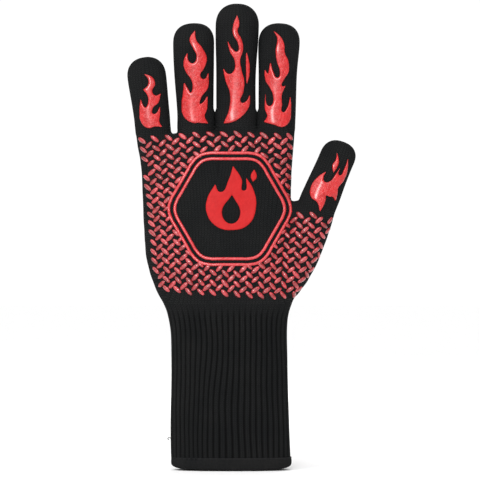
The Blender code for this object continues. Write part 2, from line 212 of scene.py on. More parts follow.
def loft(levels, sides, place, ends="open"):
    """A tube with its vertices where place(level, angle) says. ends is open, capped or looped."""
    bm = bmesh.new()
    bmesh.ops.create_circle(bm, cap_ends=ends == "capped", segments=sides, radius=1.0)
    first = rim = list(bm.edges)
    for _ in range(levels - 1):
        grown = bmesh.ops.extrude_edge_only(bm, edges=rim)["geom"]
        rim = [item for item in grown if isinstance(item, bmesh.types.BMEdge)]
        raised = [item for item in grown if isinstance(item, bmesh.types.BMVert)]
        bmesh.ops.translate(bm, verts=raised, vec=(0, 0, 1))
    if ends == "capped":
        bmesh.ops.contextual_create(bm, geom=rim)
    if ends == "looped":
        bmesh.ops.bridge_loops(bm, edges=first + rim)
    plain = np.array([vert.co[:] for vert in bm.verts])
    level = np.rint(plain[:, 2]).astype(int)
    side = np.rint(np.arctan2(plain[:, 1], plain[:, 0]) / (2 * math.pi / sides)).astype(int) % sides
    placed = np.stack(place(level, side * 2 * math.pi / sides), axis=1) * MM
    for vert, co in zip(bm.verts, placed):
        vert.co = co
    bmesh.ops.recalc_face_normals(bm, faces=bm.faces)
    return bm, level, side


def knit_map(bm, u, v, turn=None):
    """Gives every face corner its wale (u) and course (v). turn is the number of wales right round."""
    layer = bm.loops.layers.uv.new("stitches")
    bm.verts.index_update()
    for face in bm.faces:
        corners = [loop.vert.index for loop in face.loops]
        near = min(u[i] for i in corners)
        wraps = turn is not None and max(u[i] for i in corners) - near > turn / 2
        for loop, i in zip(face.loops, corners):
            loop[layer].uv = (u[i] + (turn if wraps and u[i] < turn / 2 else 0.0), v[i])


test_tube = loft(3, 24, lambda level, angle: (level, level, angle))[0]
print("a test tube is", len(test_tube.verts), "vertices")
test_tube.free()

# %% [markdown]
# ## Finishes
#
# Knit is rows of small V shapes, one leg each side of a wale. They are drawn by arithmetic on the
# stitch numbers that every piece carries, so the pattern follows the cloth round each finger. Black
# yarn shows its shape by shadow between the legs and by a faint fuzz, so the height drives the bump,
# the roughness and the colour, which carries a painted shadow between the legs.

# %% Node helpers
WALE, COURSE = 2.25, 1.7  # a stitch's width and height in millimetres


def new_finish(name):
    material = bpy.data.materials.new(name)
    material.use_nodes = True
    tree = material.node_tree
    return material, tree, tree.nodes["Principled BSDF"]


def feed(tree, node, inputs):
    """Sets a node's inputs, by name or number: a link if given an output, and else a fixed value."""
    for key, value in inputs.items():
        if isinstance(value, bpy.types.NodeSocket):
            tree.links.new(value, node.inputs[key])
        else:
            node.inputs[key].default_value = (*value, 1.0) if isinstance(value, tuple) else value
    return node


def math_node(tree, operation, *values):
    node = tree.nodes.new("ShaderNodeMath")
    node.operation = operation
    return feed(tree, node, dict(enumerate(values))).outputs[0]


def noise_node(tree, scale, detail=2.0):
    place = tree.nodes.new("ShaderNodeTexCoord").outputs["Object"]
    inputs = {"Scale": scale, "Detail": detail, "Vector": place}
    return feed(tree, tree.nodes.new("ShaderNodeTexNoise"), inputs).outputs["Fac"]


def colour_ramp(tree, factor, stops):
    ramp = tree.nodes.new("ShaderNodeValToRGB")
    elements = ramp.color_ramp.elements
    while len(elements) < len(stops):
        elements.new(0.5)
    for element, (position, colour) in zip(elements, stops):
        element.position = position
        element.color = (*colour, 1.0)
    return feed(tree, ramp, {"Fac": factor}).outputs["Color"]


def mix_colour(tree, factor, first, second, blend="MIX"):
    node = tree.nodes.new("ShaderNodeMix")
    node.data_type = "RGBA"
    node.blend_type = blend
    return feed(tree, node, {0: factor, 6: first, 7: second}).outputs[2]


def bump_node(tree, height, distance, strength=1.0, normal=None):
    inputs = {"Height": height, "Distance": distance, "Strength": strength}
    if normal is not None:
        inputs["Normal"] = normal
    return feed(tree, tree.nodes.new("ShaderNodeBump"), inputs).outputs["Normal"]


print("stitches per 10 mm:", round(10 / WALE, 1), "by", round(10 / COURSE, 1))


# %% The knit
def stitch_height(tree):
    """0 between the legs of the stitches to 1 on top of a leg."""
    uv = tree.nodes.new("ShaderNodeUVMap")
    uv.uv_map = "stitches"
    parts = feed(tree, tree.nodes.new("ShaderNodeSeparateXYZ"), {0: uv.outputs["UV"]})
    wale, course = parts.outputs[0], parts.outputs[1]
    across = math_node(tree, "SUBTRACT", math_node(tree, "FRACT", wale), 0.5)
    from_middle = math_node(tree, "ABSOLUTE", across)
    slope = math_node(tree, "MULTIPLY", from_middle, 1.5)
    climb = math_node(tree, "MULTIPLY", math_node(tree, "SUBTRACT", course, slope), 2 * math.pi)
    leg = math_node(tree, "MULTIPLY_ADD", math_node(tree, "COSINE", climb), 0.5, 0.5)
    bulge = math_node(tree, "SINE", math_node(tree, "MULTIPLY", from_middle, 6.28))
    column = math_node(tree, "MULTIPLY_ADD", bulge, 0.4, 0.6)
    gap = math_node(tree, "POWER", math_node(tree, "MULTIPLY", from_middle, 2.0), 5.0)
    column = math_node(tree, "MULTIPLY", column, math_node(tree, "SUBTRACT", 1.0, gap))
    return math_node(tree, "MULTIPLY", math_node(tree, "POWER", leg, 0.5), column)


def knit_finish(name, yarn, shadow, relief, groove=False, fuzz=0.25):
    material, tree, shader = new_finish(name)
    height = stitch_height(tree)
    fluff = noise_node(tree, 2600.0, 3.0)
    patches = noise_node(tree, 45.0, 3.0)
    # Painted shadow: the colour goes dark between the legs of the stitches.
    colour = colour_ramp(tree, height, [(0.05, shadow), (0.75, yarn)])
    pale = tuple(c * 1.9 for c in yarn)
    colour = mix_colour(tree, math_node(tree, "MULTIPLY", fluff, 0.55), colour, pale)
    tint = colour_ramp(tree, patches, [(0.3, (0.80, 0.82, 0.84)), (0.7, (1.15, 1.12, 1.10))])
    colour = mix_colour(tree, 1.0, colour, tint, "MULTIPLY")
    # Painted shade and light: the rib height darkens the colour in the grooves and lightens it on the
    # ridges.
    if groove:
        ridge = tree.nodes.new("ShaderNodeAttribute")
        ridge.attribute_name = "ridge"
        stops = [(0.0, (0.28, 0.28, 0.28)), (0.8, (1.30, 1.30, 1.30))]
        painted_rib_shade = colour_ramp(tree, ridge.outputs["Fac"], stops)
        colour = mix_colour(tree, 1.0, colour, painted_rib_shade, "MULTIPLY")
    feed(tree, shader, {
        "Base Color": colour,
        "Roughness": math_node(tree, "MULTIPLY_ADD", fluff, 0.2, 0.78),
        "Specular IOR Level": 0.05,
        "Sheen Weight": fuzz,
        "Sheen Roughness": 0.6,
        "Sheen Tint": (0.25, 0.26, 0.27),
        "Normal": bump_node(tree, fluff, 0.00012, 0.6, bump_node(tree, height, relief)),
    })
    return material


# The colours are of the yarn and of the painted shadow between its legs; the length is the bump's,
# in metres.
knit_black = knit_finish(
    "black knit", (0.0106, 0.0111, 0.0113), (0.0012, 0.0013, 0.0014), 0.0005, fuzz=0.03)
# The rib knit's colour also carries painted shade in its grooves and painted light on its ridges.
rib_black = knit_finish(
    "black rib knit", (0.0076, 0.0080, 0.0082), (0.0011, 0.0012, 0.0013), 0.0004, True, 0.03)
hem_black = knit_finish(
    "black hem knit", (0.0128, 0.0130, 0.0132), (0.0030, 0.0031, 0.0032), 0.0004, fuzz=0.05)
lining_grey = knit_finish(
    "grey lining knit", (0.060, 0.062, 0.066), (0.025, 0.026, 0.028), 0.0004, fuzz=0.5)
knits = (knit_black, rib_black, hem_black, lining_grey)
print("knit finishes:", ", ".join(material.name for material in knits))

# %% [markdown]
# Silicone is printed thick and cures glossy, with small lumps that catch the light. A thin clear coat
# over a slightly rough red gives the bright edge and the soft sparkle. The flat badge is the same
# silicone squeegeed thinner, so it is duller.

# %% The silicone
def silicone_finish(name, red, deep, roughness, lumps, coat):
    material, tree, shader = new_finish(name)
    blotches = noise_node(tree, 220.0)
    fine = noise_node(tree, 900.0, 3.0)
    swell = bump_node(tree, noise_node(tree, 420.0), lumps)
    feed(tree, shader, {
        "Base Color": colour_ramp(tree, blotches, [(0.35, deep), (0.65, red)]),
        "Roughness": math_node(tree, "MULTIPLY_ADD", fine, 0.25, roughness - 0.12),
        "Specular IOR Level": 0.35 if coat else 0.12,
        "Coat Weight": coat,
        "Coat Roughness": 0.18,
        "Normal": bump_node(tree, fine, lumps * 0.25, 1.0, swell),
    })
    return material


silicone = silicone_finish(
    "red silicone", (0.55, 0.015, 0.017), (0.43, 0.009, 0.010), 0.28, 0.0010, 0.42)
silicone_flat = silicone_finish(
    "red silicone, flat", (0.48, 0.015, 0.016), (0.44, 0.013, 0.014), 0.50, 0.0002, 0.0)
silicone_pads = silicone_finish(
    "red silicone, pads", (0.52, 0.042, 0.052), (0.23, 0.009, 0.012), 0.28, 0.0008, 1.0)
silicone_lines = silicone_finish(
    "red silicone, lines", (0.60, 0.040, 0.048), (0.50, 0.022, 0.028), 0.30, 0.0006, 0.6)
silicones = (silicone, silicone_flat, silicone_pads, silicone_lines)
print("silicone finishes:", ", ".join(material.name for material in silicones))


def finish(piece, material, slot, *nodes):
    """Gives a piece its finish and hides the solids it stands for."""
    piece.data.materials.clear()
    piece.data.materials.append(material)
    if nodes:
        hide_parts(*nodes)
    return piece


# %% [markdown]
# ## The hand
#
# The palm, the thumb's root and the start of each finger grow into each other with soft webs between
# the fingers. Boolean unions would leave creases, so the lofts are only put in one mesh, melted into
# one skin by a voxel remesh, and smoothed. The skin is then cut open at the wrist and at the knuckles,
# where the finger stalls carry on with the very same section.

# %% The form of the hand
THUMB_ROOT = np.array([  # along from the knuckle, half width, half depth
    (-76.0, 6.0, 8.0), (-70.0, 9.5, 11.5), (-58.0, 13.2, 13.8), (-40.0, 15.4, 14.6),
    (-26.0, 15.6, 14.2), (-12.0, 15.4, 13.0),
    (0.0, 14.6, 14.6 * DEPTH_RATIO), (10.0, 14.6, 14.6 * DEPTH_RATIO),
])
THUMB_FOOT, FINGER_FOOT = -76.0, -30.0  # how deep in the palm the forms start
WEB_DROP = 1.6  # the web beside the little finger is this much lower than the others
WEB_ROUND = 4.5
CUT_MARGIN = 8.0


def web_height(x):
    """How far below the other webs the palm's top edge is, towards the little finger."""
    return WEB_DROP * smooth_share((-26.0 - x) / 20.0)


def palm_form(inset):
    """A closed loft from below the wrist to the webs, with a rounded top."""
    heights = np.arange(WRIST - 9.0, 255.0 - inset, 3.0)
    roundness = np.radians(np.linspace(0.0, 80.0, 6))
    top = heights[-1]
    heights = np.append(heights, top + WEB_ROUND * np.sin(roundness[1:]))
    pinch = np.append(np.zeros(len(heights) - 5), WEB_ROUND * (1 - np.cos(roundness[1:])))

    def place(level, angle):
        height = heights[level]
        centre, width, depth = body_size(height)
        x, y = superellipse(angle, width - inset - pinch[level], depth - inset - pinch[level])
        x = x + centre
        raised = np.clip((height - 215.0) / 40.0, 0.0, 1.0)
        return x, y, height - web_height(x) * raised

    return loft(len(heights), 72, place, "capped")[0]


def finger_stub(name, inset):
    """A closed loft from inside the palm to just past the knuckle."""
    finger = FINGERS[name]
    if name == "thumb":
        along = np.linspace(THUMB_FOOT + inset, CUT_MARGIN, 30)
        width, depth = (np.interp(along, THUMB_ROOT[:, 0], THUMB_ROOT[:, i]) - inset for i in (1, 2))
    else:
        along = np.linspace(FINGER_FOOT + inset, CUT_MARGIN, 16)
        width, depth = stall_size(finger, along, inset)
        sunk = np.clip(along / FINGER_FOOT, 0.0, 1.0)
        width, depth = width - 2.0 * sunk, depth - 3.2 * sunk * sunk

    def place(level, angle):
        x, y = superellipse(angle, width[level], depth[level], STALL_SQUARENESS)
        x, z = in_glove(name, flared(finger, 0.0, x, width[level]), along[level])
        return x, y, z

    return loft(len(along), 48, place, "capped")[0]


THUMB_CROOK, CROOK_SIZE = (50.0, 0.0, 190.0), (9.0, 10.5, 15.0)


def thumb_web(inset):
    """A bead that fills the crook between the thumb and the palm."""
    bm = bmesh.new()
    bmesh.ops.create_uvsphere(bm, u_segments=24, v_segments=14, radius=1.0)
    bmesh.ops.scale(bm, verts=bm.verts, vec=[(half - inset) * MM for half in CROOK_SIZE])
    bmesh.ops.translate(bm, verts=bm.verts, vec=[place * MM for place in THUMB_CROOK])
    return bm


def evaluated_copy(piece, name):
    """The piece with its modifiers applied, as a plain mesh object; the piece itself is removed."""
    graph = bpy.context.evaluated_depsgraph_get()
    mesh = bpy.data.meshes.new_from_object(piece.evaluated_get(graph), depsgraph=graph)
    mesh.name = name
    bpy.data.objects.remove(piece)
    return new_object(name, mesh)


def melted(piece, voxel, name):
    """The piece as one skin with faces of about a voxel, in millimetres."""
    melt = piece.modifiers.new("melt", "REMESH")
    melt.mode = "VOXEL"
    melt.voxel_size = voxel * MM
    return evaluated_copy(piece, name)


def smoothed(piece, rounds):
    """The piece's mesh as a bmesh, with its vertices eased towards their neighbours."""
    bm = bmesh.new()
    bm.from_mesh(piece.data)
    for _ in range(rounds):
        bmesh.ops.smooth_vert(bm, verts=bm.verts, factor=0.5,
                              use_axis_x=True, use_axis_y=True, use_axis_z=True)
    return bm


def hand_skin(inset, voxel, rounds):
    """The hand's forms melted into one skin, as a bmesh."""
    whole = bmesh.new()
    for form in [palm_form(inset), thumb_web(inset), *(finger_stub(name, inset) for name in FINGERS)]:
        mesh = bpy.data.meshes.new("form")
        form.to_mesh(mesh)
        form.free()
        whole.from_mesh(mesh)
        bpy.data.meshes.remove(mesh)
    piece = melted(new_piece("hand form", whole), voxel, "hand skin")
    bm = smoothed(piece, rounds)
    bpy.data.objects.remove(piece)
    return bm


skin = hand_skin(0.0, 1.1, 8)
print("hand skin:", len(skin.faces), "faces")


# %% Open it at the wrist and knuckles
def crumple(co, size, amount):
    """A gentle unevenness of cloth, in metres, the same wherever it is asked for."""
    return noise.noise(Vector(co) / (size * MM)) * amount * MM


def near_openings(co):
    """0 at the wrist and at each knuckle, where pieces meet, to 1 a little way off."""
    share = smooth_share((co[2] / MM - WRIST) / 10.0)
    for name in FINGERS:
        knuckle, across, way = finger_axes(name)
        offset = Vector(co) - knuckle
        if abs(offset.dot(across)) < 19 * MM and offset.dot(way) > -14 * MM:
            share = min(share, smooth_share(-offset.dot(way) / (14 * MM)))
    return share


def ease_cloth(bm):
    bm.normal_update()
    for vert in bm.verts:
        amount = near_openings(vert.co)
        if amount > 0:
            vert.co += vert.normal * (crumple(vert.co, 26.0, 0.9) + crumple(vert.co, 9.0, 0.25)) * amount


def open_wrist(bm, inset):
    plane = Vector((0.0, 0.0, WRIST * MM))
    bmesh.ops.bisect_plane(bm, geom=[*bm.verts, *bm.edges, *bm.faces], dist=1e-6, plane_co=plane,
                           plane_no=(0, 0, 1), clear_inner=True)
    centre, width, depth = (float(v) for v in body_size(WRIST))
    width, depth = width - inset, depth - inset
    for vert in bm.verts:
        if abs(vert.co.z - plane.z) < 1e-5:
            middle = Vector((centre * MM, 0.0, plane.z))
            fit_to_section(vert, middle, Vector((1, 0, 0)), (width, width), depth, SQUARENESS)


def fit_to_section(vert, centre, across, widths, depth, square, share=1.0):
    """Moves a vertex in or out, so that it lies on a section with its own width on each side."""
    offset = vert.co - centre
    x, y = offset.dot(across) / MM, offset.y / MM
    size = (abs(x / widths[x > 0]) ** square + abs(y / depth) ** square) ** (1 / square)
    if size > 0:
        moved = across * x * MM / size + Vector((0, y * MM / size, 0))
        flat = across * x * MM + Vector((0, y * MM, 0))
        vert.co += (moved - flat) * share


def open_knuckle(bm, name, inset):
    finger = FINGERS[name]
    knuckle, across, way = finger_axes(name)

    def near(co):
        offset = co - knuckle
        return abs(offset.dot(across)) < (finger["base"] + 3) * MM and offset.dot(way) > -8 * MM

    faces = [face for face in bm.faces if near(face.calc_center_median())]
    parts = {*faces, *(v for f in faces for v in f.verts), *(e for f in faces for e in f.edges)}
    bmesh.ops.bisect_plane(bm, geom=list(parts), dist=1e-6, plane_co=knuckle, plane_no=way)
    middles = {face: face.calc_center_median() for face in bm.faces}
    gone = [face for face, co in middles.items() if near(co) and (co - knuckle).dot(way) > 0]
    bmesh.ops.delete(bm, geom=gone, context="FACES")
    width, depth = (float(v) for v in stall_size(finger, np.array(0.0), inset))
    widths = [width + amount for amount in finger["flare"]]
    for vert in bm.verts:
        along = (vert.co - knuckle).dot(way) / MM
        if near(vert.co) and along > -3.0:
            share = float(smooth_share(1 + along / 3.0))
            middle = knuckle + way * along * MM
            fit_to_section(vert, middle, across, widths, depth, STALL_SQUARENESS, share)


def hand_piece(name, bm, inset):
    ease_cloth(bm)
    open_wrist(bm, inset)
    for finger_name in FINGERS:
        open_knuckle(bm, finger_name, inset)
    u, v = [], []
    for vert in bm.verts:
        x, y, z = (c / MM for c in vert.co)
        round_edge = math.copysign(abs(y) - 17.0, x + 10.0)  # wales are counted on round the edges
        u.append((x - round_edge) / WALE)
        v.append(z / COURSE)
    knit_map(bm, u, v)
    return new_piece(name, bm)


palm_knit = hand_piece("palm_knit", skin, 0.0)
print("palm_knit:", len(palm_knit.data.polygons), "faces")

# %% [markdown]
# ## The fingers
#
# A finger stall is a plain knitted tube with a domed end. Each is made in two lengths that meet where
# the cloth doesn't turn, because a piece of cloth may bend about one joint only. Both lengths are read
# from the same sizes, so the parting can't be seen. The tube goes up its inside and back down its
# outside, which gives it a real wall.

# %% Finger stalls
STITCH_STEP = 1.4


def stall_levels(finger, start, end, inset):
    """Distances along the finger for the rings, closer together over the domed tip."""
    straight = finger["tip"] - finger["end"]
    stop = straight if end is None else end
    along = np.linspace(start, stop, max(3, int((stop - start) / STITCH_STEP)))
    if end is None:
        angles = np.radians([8, 16, 24, 32, 40, 48, 56, 63, 70, 76, 81, 85, 88])
        along = np.append(along, straight + (finger["end"] - inset) * np.sin(angles))
    return along


def stall_surface(name, along, angle, inset):
    """Points of a finger's surface, in millimetres in the glove's frame."""
    finger = FINGERS[name]
    width, depth = stall_size(finger, along, inset)
    x, y = superellipse(angle, width, depth, STALL_SQUARENESS)
    x = flared(finger, along, x, np.maximum(width, 0.01))
    swell = 1 + 0.008 * np.sin(along / 9.0 + finger["tip"]) * smooth_share(along / 9.0)
    dent = 0.3 * np.sin(3 * angle + along / 15.0 + finger["base"]) * smooth_share(along / 12.0)
    size = np.maximum(np.hypot(x, y), 1.0)
    x, y = x * (swell + dent / size), y * (swell + dent / size)
    x, z = in_glove(name, x + finger["drift"] * smooth_share(along / finger["tip"]), along)
    return x, y, z


def stall(piece_name, name, start, end, inset, wall, sides):
    """One length of a finger stall. With no end it is closed by the domed tip."""
    finger = FINGERS[name]
    outer = stall_levels(finger, start, end, inset)
    inner = stall_levels(finger, start, end, inset + wall)
    along = np.concatenate([inner[::-1], outer])
    insets = np.concatenate([np.full(len(inner), inset + wall), np.full(len(outer), inset)])

    def place(level, angle):
        parts = [stall_surface(name, along[level], angle, i) for i in (inset, inset + wall)]
        is_outer = insets[level] == inset
        return tuple(np.where(is_outer, out, inside) for out, inside in zip(*parts))

    bm, level, side = loft(len(along), sides, place, "capped" if end is None else "looped")
    wales = round(2 * math.pi * finger["base"] * 0.93 / WALE)
    knit_map(bm, side * wales / sides, along[level] / COURSE, wales)
    return new_piece(piece_name, bm)


def bend_knuckle(piece, name):
    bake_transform(piece)


def bend_middle(piece, name):
    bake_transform(piece)


def both_lengths(name, cloth, inset, wall, sides, *look):
    """A finger's two lengths. look is their finish, their slot, which is not used, and how their solids'
    names end.
    """
    material, slot, solid = look
    part = split_at(name)
    base = stall(f"{name}_base_{cloth}", name, 0.0, part, inset, wall, sides)
    tip = stall(f"{name}_tip_{cloth}", name, part, None, inset, wall, sides)
    bend_knuckle(finish(base, material, slot, f"{name}_base_{solid}"), name)
    bend_middle(finish(tip, material, slot, f"{name}_tip_{solid}"), name)
    return base, tip


stalls = []
for name in FINGERS:
    stalls += both_lengths(name, "knit", 0.0, 1.8, 72, knit_black, "shell", "stall")
print("stalls:", len(stalls), "pieces,", sum(len(s.data.polygons) for s in stalls), "faces")

# %% [markdown]
# ## The lining
#
# Inside is a second, softer glove, seen only through the wrist. It is made by the same steps a little
# smaller and coarser.

# %% Lining of the hand and fingers
def thicken(piece, wall):
    """Gives an open skin a wall that grows inwards."""
    solid = piece.modifiers.new("wall", "SOLIDIFY")
    solid.thickness = wall * MM
    solid.offset = -1.0
    return smooth_but_rims(evaluated_copy(piece, piece.name))


palm_lining = hand_piece("palm_lining_cloth", hand_skin(LINING_INSET, 2.4, 4), LINING_INSET)
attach(finish(thicken(palm_lining, LINING_WALL), lining_grey, "lining", "palm_lining"), "hand")
palm_knit = thicken(palm_knit, 1.7)
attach(finish(palm_knit, knit_black, "shell", "palm_shell"), "hand")
for name in FINGERS:
    both_lengths(name, "lining_cloth", LINING_INSET, LINING_WALL, 28, lining_grey, "lining", "lining")
print("linings made for", len(FINGERS), "fingers")

# %% [markdown]
# ## The cuff
#
# The long cuff is rib knit: ridges of stitches with grooves between them, which pull together and grip
# the wrist. The ribs are real relief on a finely divided tube. They fade in under the palm, lean a
# little where the cloth has been pulled, and each vertex notes how high on a rib it is, so that the
# finish can paint shade into the grooves and light onto the ridges.

# %% Rib cuff
RIBS, SIDES_PER_RIB = 50, 8
RIB_RISE = 0.6
HEM_TOP = 8.8
CUFF_WALL = 1.9


def even_turn(turn):
    """The superellipse's own angle for a share of the way round it, so that ribs are evenly spaced."""
    dense = np.linspace(0.0, 2 * math.pi, 1441)
    x, y = superellipse(dense, 44.5, 17.0)
    run = np.concatenate([[0.0], np.cumsum(np.hypot(np.diff(x), np.diff(y)))])
    return np.interp(np.mod(turn, 2 * math.pi), run / run[-1] * 2 * math.pi, dense)


def pulled(angle, height):
    """How far the ribs have slipped sideways round the cuff, as an angle."""
    front = np.maximum(-np.sin(angle), 0.0) ** 2
    left = smooth_share(0.5 - 0.9 * np.cos(angle))
    slip = smooth_share((104.0 - height) / 60.0) + 0.05 * np.sin(height / 15.0)
    return -0.12 * front * (0.35 + left) * slip + 0.006 * np.sin(height / 8.0 + 5 * angle)


def rib_height(angle, height):
    """0 in a groove to 1 on a ridge, fading in below the palm and out under the hem."""
    ridge = (0.5 + 0.5 * np.cos(angle * RIBS)) ** 0.7
    return ridge, smooth_share((WRIST - height) / 12.0)


def cuff_surface(height, angle, inset, ribbed=1.0):
    centre, width, depth = body_size(height)
    ridge, fade = rib_height(angle, height)
    rise = (ridge - 0.5) * RIB_RISE * fade * ribbed
    rise = rise + 0.35 * np.sin(2 * angle + height / 21.0) * fade
    rise = rise + 0.2 * np.sin(5 * angle - height / 17.0) * fade
    turned = even_turn(angle + pulled(angle, height) * fade)
    x, y = superellipse(turned, width - inset + rise, depth - inset + rise)
    return centre + x, y, np.broadcast_to(height, x.shape)


def tube_wall(low, high, step):
    """Heights and a flag for the rings of a walled tube: up the outside and down the inside."""
    up = np.linspace(low, high, int((high - low) / step))
    down = up[::-3]
    return np.concatenate([up, down]), np.concatenate([np.zeros(len(up)), np.ones(len(down))])


def build_cuff(name, low, high, step, inset, wall, sides, ribbed):
    heights, inside = tube_wall(low, high, step)

    def place(level, angle):
        faded = ribbed * (1 - 0.7 * inside[level])
        return cuff_surface(heights[level], angle, inset + inside[level] * wall, faded)

    bm, level, side = loft(len(heights), sides, place, "looped")
    knit_map(bm, side * 2.0 * RIBS / sides, heights[level] / COURSE, 2 * RIBS)
    # The rib height is kept for the finish, which paints shade into the grooves and light onto the
    # ridges.
    ridge, fade = rib_height(side * 2 * math.pi / sides, heights[level])
    ridge = 0.7 + (ridge - 0.7) * fade
    layer = bm.verts.layers.float.new("ridge")
    bm.verts.ensure_lookup_table()
    for vert, value in zip(bm.verts, ridge):
        vert[layer] = float(value)
    return new_piece(name, bm)


rib_cuff = build_cuff(
    "rib_cuff_knit", HEM_TOP - 1.5, WRIST, 1.8, 0.0, CUFF_WALL, RIBS * SIDES_PER_RIB, 1.0)
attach(finish(rib_cuff, rib_black, "rib", "rib_cuff"), "hand")
cuff_lining = build_cuff(
    "cuff_lining_cloth", HEM_TOP - 2.0, WRIST, 4.0, CUFF_WALL + 0.7, LINING_WALL, 88, 0.0)
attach(finish(cuff_lining, lining_grey, "lining", "cuff_lining"), "hand")
print("rib_cuff_knit:", len(rib_cuff.data.polygons), "faces")

# %% [markdown]
# The hem is the cuff folded up on itself and overlocked, so it is a plump band that stands out from
# the ribs. Its profile goes once round the fold. A row of small slanted stitches holds its upper edge.

# %% Hem band and its stitches
HEM_PROFILE = np.array([  # height, how far inside the cuff's surface
    (9.2, 0.6), (9.4, 0.0), (8.8, -0.45), (7.4, -0.75), (5.0, -0.85), (2.8, -0.75), (1.2, -0.4),
    (0.3, 0.3), (0.0, 1.0), (0.5, 2.2), (1.8, 3.0), (4.5, 3.4), (8.0, 3.4), (9.6, 3.0),
])
HEM_SIDES = 264


def hem_surface(height, angle, inset):
    centre, width, depth = body_size(np.full_like(height, 5.0))
    pucker = 0.12 * np.cos(angle * RIBS) + 0.22 * np.sin(3 * angle + 1.0) + 0.12 * np.sin(11 * angle)
    turned = even_turn(angle)
    x, y = superellipse(turned, width - inset + pucker, depth - inset + pucker)
    wave = 0.25 + 0.25 * np.sin(2 * angle + 0.6) + 1.8 * np.abs(np.cos(turned)) ** 9
    return centre + x, y, height + wave * smooth_share(1 - height / 9.0)


def build_hem():
    def place(level, angle):
        return hem_surface(HEM_PROFILE[level, 0], angle, HEM_PROFILE[level, 1])

    bm, level, side = loft(len(HEM_PROFILE), HEM_SIDES, place, "looped")
    wales = 4 * RIBS
    round_fold = np.cumsum(np.hypot(*np.diff(HEM_PROFILE, axis=0, prepend=HEM_PROFILE[:1]).T))
    knit_map(bm, side * wales / HEM_SIDES, round_fold[level] / 1.1, wales)
    return new_piece("hem_band", bm)


def one_bead(segments, rings):
    """A mesh of one round bead of radius 1, to copy many times."""
    bm = bmesh.new()
    bmesh.ops.create_uvsphere(bm, u_segments=segments, v_segments=rings, radius=1.0)
    mesh = bpy.data.meshes.new("bead")
    bm.to_mesh(mesh)
    bm.free()
    return mesh


def add_copy(bm, mesh, matrix):
    """Adds a copy of a mesh to a bmesh, moved and turned by the matrix."""
    copy = mesh.copy()
    copy.transform(matrix)
    bm.from_mesh(copy)
    bpy.data.meshes.remove(copy)


def build_hem_stitches():
    bm = bmesh.new()
    stitch = one_bead(6, 4)
    count = 3 * RIBS
    for i in range(count):
        angle = np.array(2 * math.pi * i / count)
        place, ahead = (Vector([float(c) * MM for c in hem_surface(np.array(8.9), a, -0.5)])
                        for a in (angle, angle + 0.01))
        run = (ahead - place).normalized()
        out = run.cross(Vector((0, 0, 1)))
        lean = Matrix.Rotation(math.radians(38), 4, out)
        turn = Matrix((run, Vector((0, 0, 1)), out)).transposed().to_4x4()
        size = Matrix.Diagonal((1.0 * MM, 0.26 * MM, 0.24 * MM, 1.0))
        add_copy(bm, stitch, Matrix.Translation(place) @ lean @ turn @ size)
    return new_piece("hem_stitches", bm)


hem = build_hem()
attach(finish(hem, hem_black, "rib", "cuff_hem"), "hand")


def thread_finish():
    material, tree, shader = new_finish("black thread")
    strands = noise_node(tree, 1800.0)
    stops = [(0.3, (0.006, 0.006, 0.007)), (0.7, (0.016, 0.016, 0.017))]
    feed(tree, shader, {
        "Base Color": colour_ramp(tree, strands, stops),
        "Roughness": 0.7,
        "Specular IOR Level": 0.25,
        "Normal": bump_node(tree, strands, 0.0001),
    })
    return material


thread = thread_finish()
hem_stitches = build_hem_stitches()
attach(finish(hem_stitches, thread, "rib"), "hand")
print("hem_stitches:", len(hem_stitches.data.polygons), "faces")


# %% A loose thread end at the edge of the cuff
def build_loose_thread():
    curve = bpy.data.curves.new("loose thread", "CURVE")
    curve.dimensions = "3D"
    curve.bevel_depth = 0.32 * MM
    curve.bevel_resolution = 2
    curve.use_fill_caps = True
    spline = curve.splines.new("BEZIER")
    route = ((-44.6, -3.0, 22.4), (-46.9, -3.6, 24.0), (-48.4, -3.9, 23.7), (-47.6, -4.2, 22.5))
    spline.bezier_points.add(len(route) - 1)
    for point, co in zip(spline.bezier_points, route):
        point.co = Vector(co) * MM
        point.handle_left_type = point.handle_right_type = "AUTO"
    strand = new_object("loose thread", curve)
    bpy.context.view_layer.update()
    return evaluated_copy(strand, "loose_thread")


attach(finish(build_loose_thread(), thread, "rib"), "hand")
print("loose thread made")

# %% [markdown]
# ## Laying the silicone on the knit
#
# Every print is drawn flat, as a stencil is, with its thickness as a third measure. To lay it on the
# glove, the cloth is felt from straight in front (or behind) on a fine grid, which gives the depth at
# any place and, from its slope, the way out of the cloth.

# %% Feel the cloth from the front and from behind
GRID = 0.6
GRID_X = np.arange(-78.0, 102.0, GRID)
GRID_Z = np.arange(WRIST + 1.0, 358.0, GRID)


def cloth_tree():
    """A search tree over the outside of the palm and fingers."""
    verts, faces = [], []
    for piece in [palm_knit, *stalls]:
        first = len(verts)
        verts += [v.co.copy() for v in piece.data.vertices]
        faces += [[first + i for i in p.vertices] for p in piece.data.polygons]
    return BVHTree.FromPolygons(verts, faces)


def feel(tree, side):
    """Depth of the cloth at each grid point, in millimetres; where there is none, zero."""
    depth = np.full((len(GRID_Z), len(GRID_X)), np.nan)
    way = Vector((0.0, -side, 0.0))
    for row, z in enumerate(GRID_Z):
        for column, x in enumerate(GRID_X):
            hit = tree.ray_cast(Vector((x * MM, side * 0.1, z * MM)), way)[0]
            if hit is not None:
                depth[row, column] = hit.y / MM
    return np.where(np.isnan(depth), 0.0, depth)


def blurred(depth):
    for axis in (0, 1):
        depth = (np.roll(depth, 1, axis) + 2 * depth + np.roll(depth, -1, axis)) / 4
    return depth


search = cloth_tree()
CLOTH = {face: blurred(feel(search, side)) for face, side in FACES.items()}
print("grid:", CLOTH["front"].shape, "deepest", round(float(CLOTH["front"].min()), 1), "mm")


